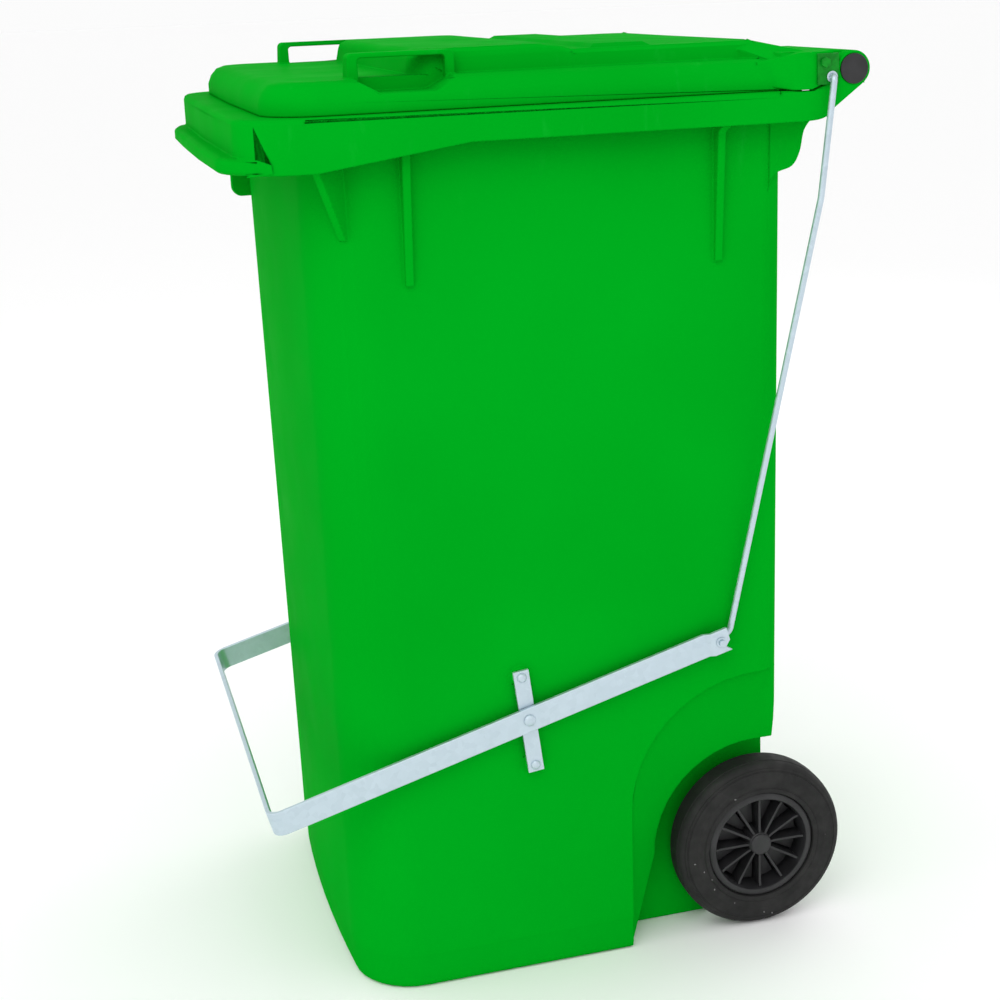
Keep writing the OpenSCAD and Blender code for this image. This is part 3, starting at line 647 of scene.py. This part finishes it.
def spoke():
    """One blade, drawn on edge, from the boss to the rim."""
    outline = [(0.0125, 0.022), (0.0560, 0.013), (0.0560, 0.0400), (0.0500, 0.0385),
               (0.0180, 0.0385), (0.0125, 0.0395)]
    mesh = prism(outline, -SPOKE_THICK / 2, SPOKE_THICK / 2, 0.0005)
    # The outline was drawn as (radius, along): turn it so that along runs on X.
    turned = Matrix(((0, 0, 1, WHEEL_IN), (-1, 0, 0, 0), (0, 1, 0, 0), (0, 0, 0, 1)))
    mesh.transform(turned)
    return mesh


def petal():
    """One wedge between two spokes, deep in the dish."""
    middle = math.pi / SPOKES
    outline = []
    for radius, half in ((0.0215, 0.62), (0.0515, 1.0)):
        span = [middle - PETAL_HALF * half, middle, middle + PETAL_HALF * half]
        if radius > 0.03:
            span.reverse()
        outline += [(-radius * math.sin(a), radius * math.cos(a)) for a in span]
    return prism(outline, WHEEL_IN + 0.017, WHEEL_IN + 0.0225, 0.0012)


for side in ("left", "right"):
    node = f"wheel_hub_{side}"
    body = lathe([(WHEEL_IN + along, radius) for along, radius in HUB_PROFILE])
    back = lathe([(WHEEL_IN + along, radius) for along, radius in SHADE_PLATE])
    spokes = ring.grow(spoke(), "spokes", Count=SPOKES, Material=nylon).data
    petals = ring.grow(petal(), "petals", Count=SPOKES, Material=nylon).data
    hub = hand_over(joined(f"hub_{side}", [body, spokes, petals], at_wheel(side)), node, nylon)
    # The back plate carries painted shade: near black, for the deep gaps round the petals.
    plate = joined(f"hub_{side}_back", [back], at_wheel(side))
    plate.data.materials.append(painted_shade_black)
    shade(plate)
    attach(plate, body_of[node])
    print(hub.name, "faces:", len(hub.data.polygons))

# %% [markdown]
# The tyre's profile carries what the mould leaves: a bead beside the rim, a ring round the
# sidewall, a double line at the shoulder and a shallow groove at each edge of the tread. A few
# nibs of flash are scattered on the outer sidewall by a tree with a fixed seed.

# %% Tyres
SIDEWALL = [(0.0430, 0.0660), (0.0452, 0.0668), (0.0460, 0.0690), (0.0459, 0.0716),
            (0.0450, 0.0722), (0.0447, 0.0730), (0.0452, 0.0740), (0.0456, 0.0790),
            (0.0460, 0.0800), (0.0460, 0.0815), (0.0454, 0.0824), (0.0450, 0.0890),
            (0.0446, 0.0925), (0.0436, 0.0931), (0.0434, 0.0938), (0.0438, 0.0946),
            (0.0430, 0.0962), (0.0420, 0.0966), (0.0417, 0.0973), (0.0414, 0.0984),
            (0.0398, 0.1006), (0.0375, 0.1022), (0.0350, 0.1031), (0.0342, 0.1026),
            (0.0334, 0.1026), (0.0326, 0.1035), (0.0290, 0.1039), (0.0240, 0.1040)]


def nib_tree():
    """Small nibs at random places on a ring, standing on the plane X = 0."""
    tree = Tree("flash_nibs", Count="Int", Seed="Int", Near="Float", Far="Float",
                Material="Material")
    points = tree.add("GeometryNodeMeshLine", {"Count": tree.start["Count"], "Offset": (0, 0, 0)})

    def random(low, high, shift):
        seed = tree.add("ShaderNodeMath", {0: tree.start["Seed"], 1: shift}, operation="ADD")
        node = tree.group.nodes.new("FunctionNodeRandomValue")
        node.data_type = "FLOAT"
        floats = [s for s in node.inputs if s.enabled and s.name in ("Min", "Max")]
        for socket, value in zip(floats, (low, high)):
            if isinstance(value, bpy.types.NodeSocket):
                tree.group.links.new(value, socket)
            else:
                socket.default_value = value
        tree.group.links.new(seed, node.inputs["Seed"])
        return next(s for s in node.outputs if s.enabled)

    angle = random(0.0, math.tau, 0)
    radius = random(tree.start["Near"], tree.start["Far"], 1)
    y = tree.add("ShaderNodeMath", {0: radius, 1: tree.add(
        "ShaderNodeMath", {0: angle}, operation="COSINE")}, operation="MULTIPLY")
    z = tree.add("ShaderNodeMath", {0: radius, 1: tree.add(
        "ShaderNodeMath", {0: angle}, operation="SINE")}, operation="MULTIPLY")
    place = tree.add("ShaderNodeCombineXYZ", {"Y": y, "Z": z})
    spread = tree.add("GeometryNodeSetPosition", {"Geometry": points, "Position": place})
    size = tree.add("ShaderNodeCombineXYZ", {"X": 1.0, "Y": random(0.7, 1.6, 2),
                                             "Z": random(0.7, 1.3, 3)})
    return tree.close(tree.add("GeometryNodeInstanceOnPoints", {
        "Points": spread, "Instance": tree.start["Geometry"], "Scale": size}))


def flash():
    finish = Finish("rubber_flash")
    finish.set(Specular_IOR_Level=0.3, Roughness=0.6)
    finish.colour(finish.mix(finish.ramp(finish.noise(900), 0.3, 0.7),
                             (0.10, 0.10, 0.10), (0.28, 0.28, 0.28)))
    return finish.material


nibs = nib_tree()
flash_grey = flash()
nib = [(0, 0.0), (0.0002, 0.0011), (0.0009, 0.0008), (0.0012, 0.0)]
for number, side in enumerate(("left", "right")):
    node = f"tyre_{side}"
    half = [(WHEEL_IN + along, radius) for along, radius in SIDEWALL]
    other = [(WHEEL_IN + WHEEL_WIDTH - along, radius) for along, radius in reversed(SIDEWALL[:-1])]
    tyre = hand_over(joined(f"tyre_{side}_finished", [lathe(half + other)], at_wheel(side)),
                     node, rubber)
    marks = nibs.grow(lathe(nib, 8), "nibs", Count=9, Seed=4 + number, Near=0.069, Far=0.094,
                      Material=flash_grey).data
    marks.transform(Matrix.Translation((WHEEL_IN + WHEEL_WIDTH - 0.0012, 0, 0)))
    bits = joined(f"tyre_{side}_nibs", [marks], at_wheel(side))
    bits.data.materials.clear()
    bits.data.materials.append(flash_grey)
    shade(bits)
    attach(bits, body_of[node])
    print(tyre.name, "faces:", len(tyre.data.polygons), "nibs:", len(bits.data.polygons))

# %% [markdown]
# ## Push rods
#
# Each push rod is one round bar, bent cold. A tree sweeps a circle along the rod's path. Every
# corner of the path carries its own bend radius, small at the turned-in ends and large at the
# knee.

# %% Sweep the push rods
ROD_R = 0.0035
PIN = (-0.06019, 0.37935)
ROD_PATH = [((0.2680, *PIN), 0.0), ((0.2510, *PIN), 0.0045),
            ((0.2510, PIN[0] + 0.015, PIN[1] + 0.007), 0.0100),
            ((0.2998, 0.043, 0.877), 0.060), ((0.2998, 0.058, 1.002), 0.0042),
            ((0.2938, 0.058, 1.002), 0.0)]


def sweep_tree():
    """A circle swept along a path whose point radii are its bend radii."""
    tree = Tree("swept_bar", Thick="Float", Material="Material")
    bends = tree.add("GeometryNodeInputRadius")
    path = tree.add("GeometryNodeFilletCurve", {"Curve": tree.start["Geometry"], "Count": 10,
                                                "Radius": bends, "Limit Radius": True}, mode="POLY")
    even = tree.add("GeometryNodeSetCurveRadius", {"Curve": path, "Radius": 1.0})
    circle = tree.add("GeometryNodeCurvePrimitiveCircle", {"Resolution": 20,
                                                           "Radius": tree.start["Thick"]})
    swept = tree.add("GeometryNodeCurveToMesh", {"Curve": even, "Profile Curve": circle,
                                                 "Fill Caps": True})
    return tree.close(swept)


def path_curve(points, side):
    """A polyline; each point comes with its bend radius."""
    curve = bpy.data.curves.new("path", "CURVE")
    curve.dimensions = "3D"
    spline = curve.splines.new("POLY")
    spline.points.add(len(points) - 1)
    for target, ((x, y, z), bend) in zip(spline.points, points):
        target.co = (-x if side == "left" else x, y + axle_at.y, z, 1)
        target.radius = bend
    return curve


sweep = sweep_tree()
for side in ("left", "right"):
    node = f"push_rod_{side}"
    rod = sweep.grow(path_curve(ROD_PATH, side), "rod", Thick=ROD_R, Material=zinc).data
    piece = hand_over(joined(f"rod_{side}", [rod], Matrix()), node, zinc, 60)
    print(piece.name, "faces:", len(piece.data.polygons))
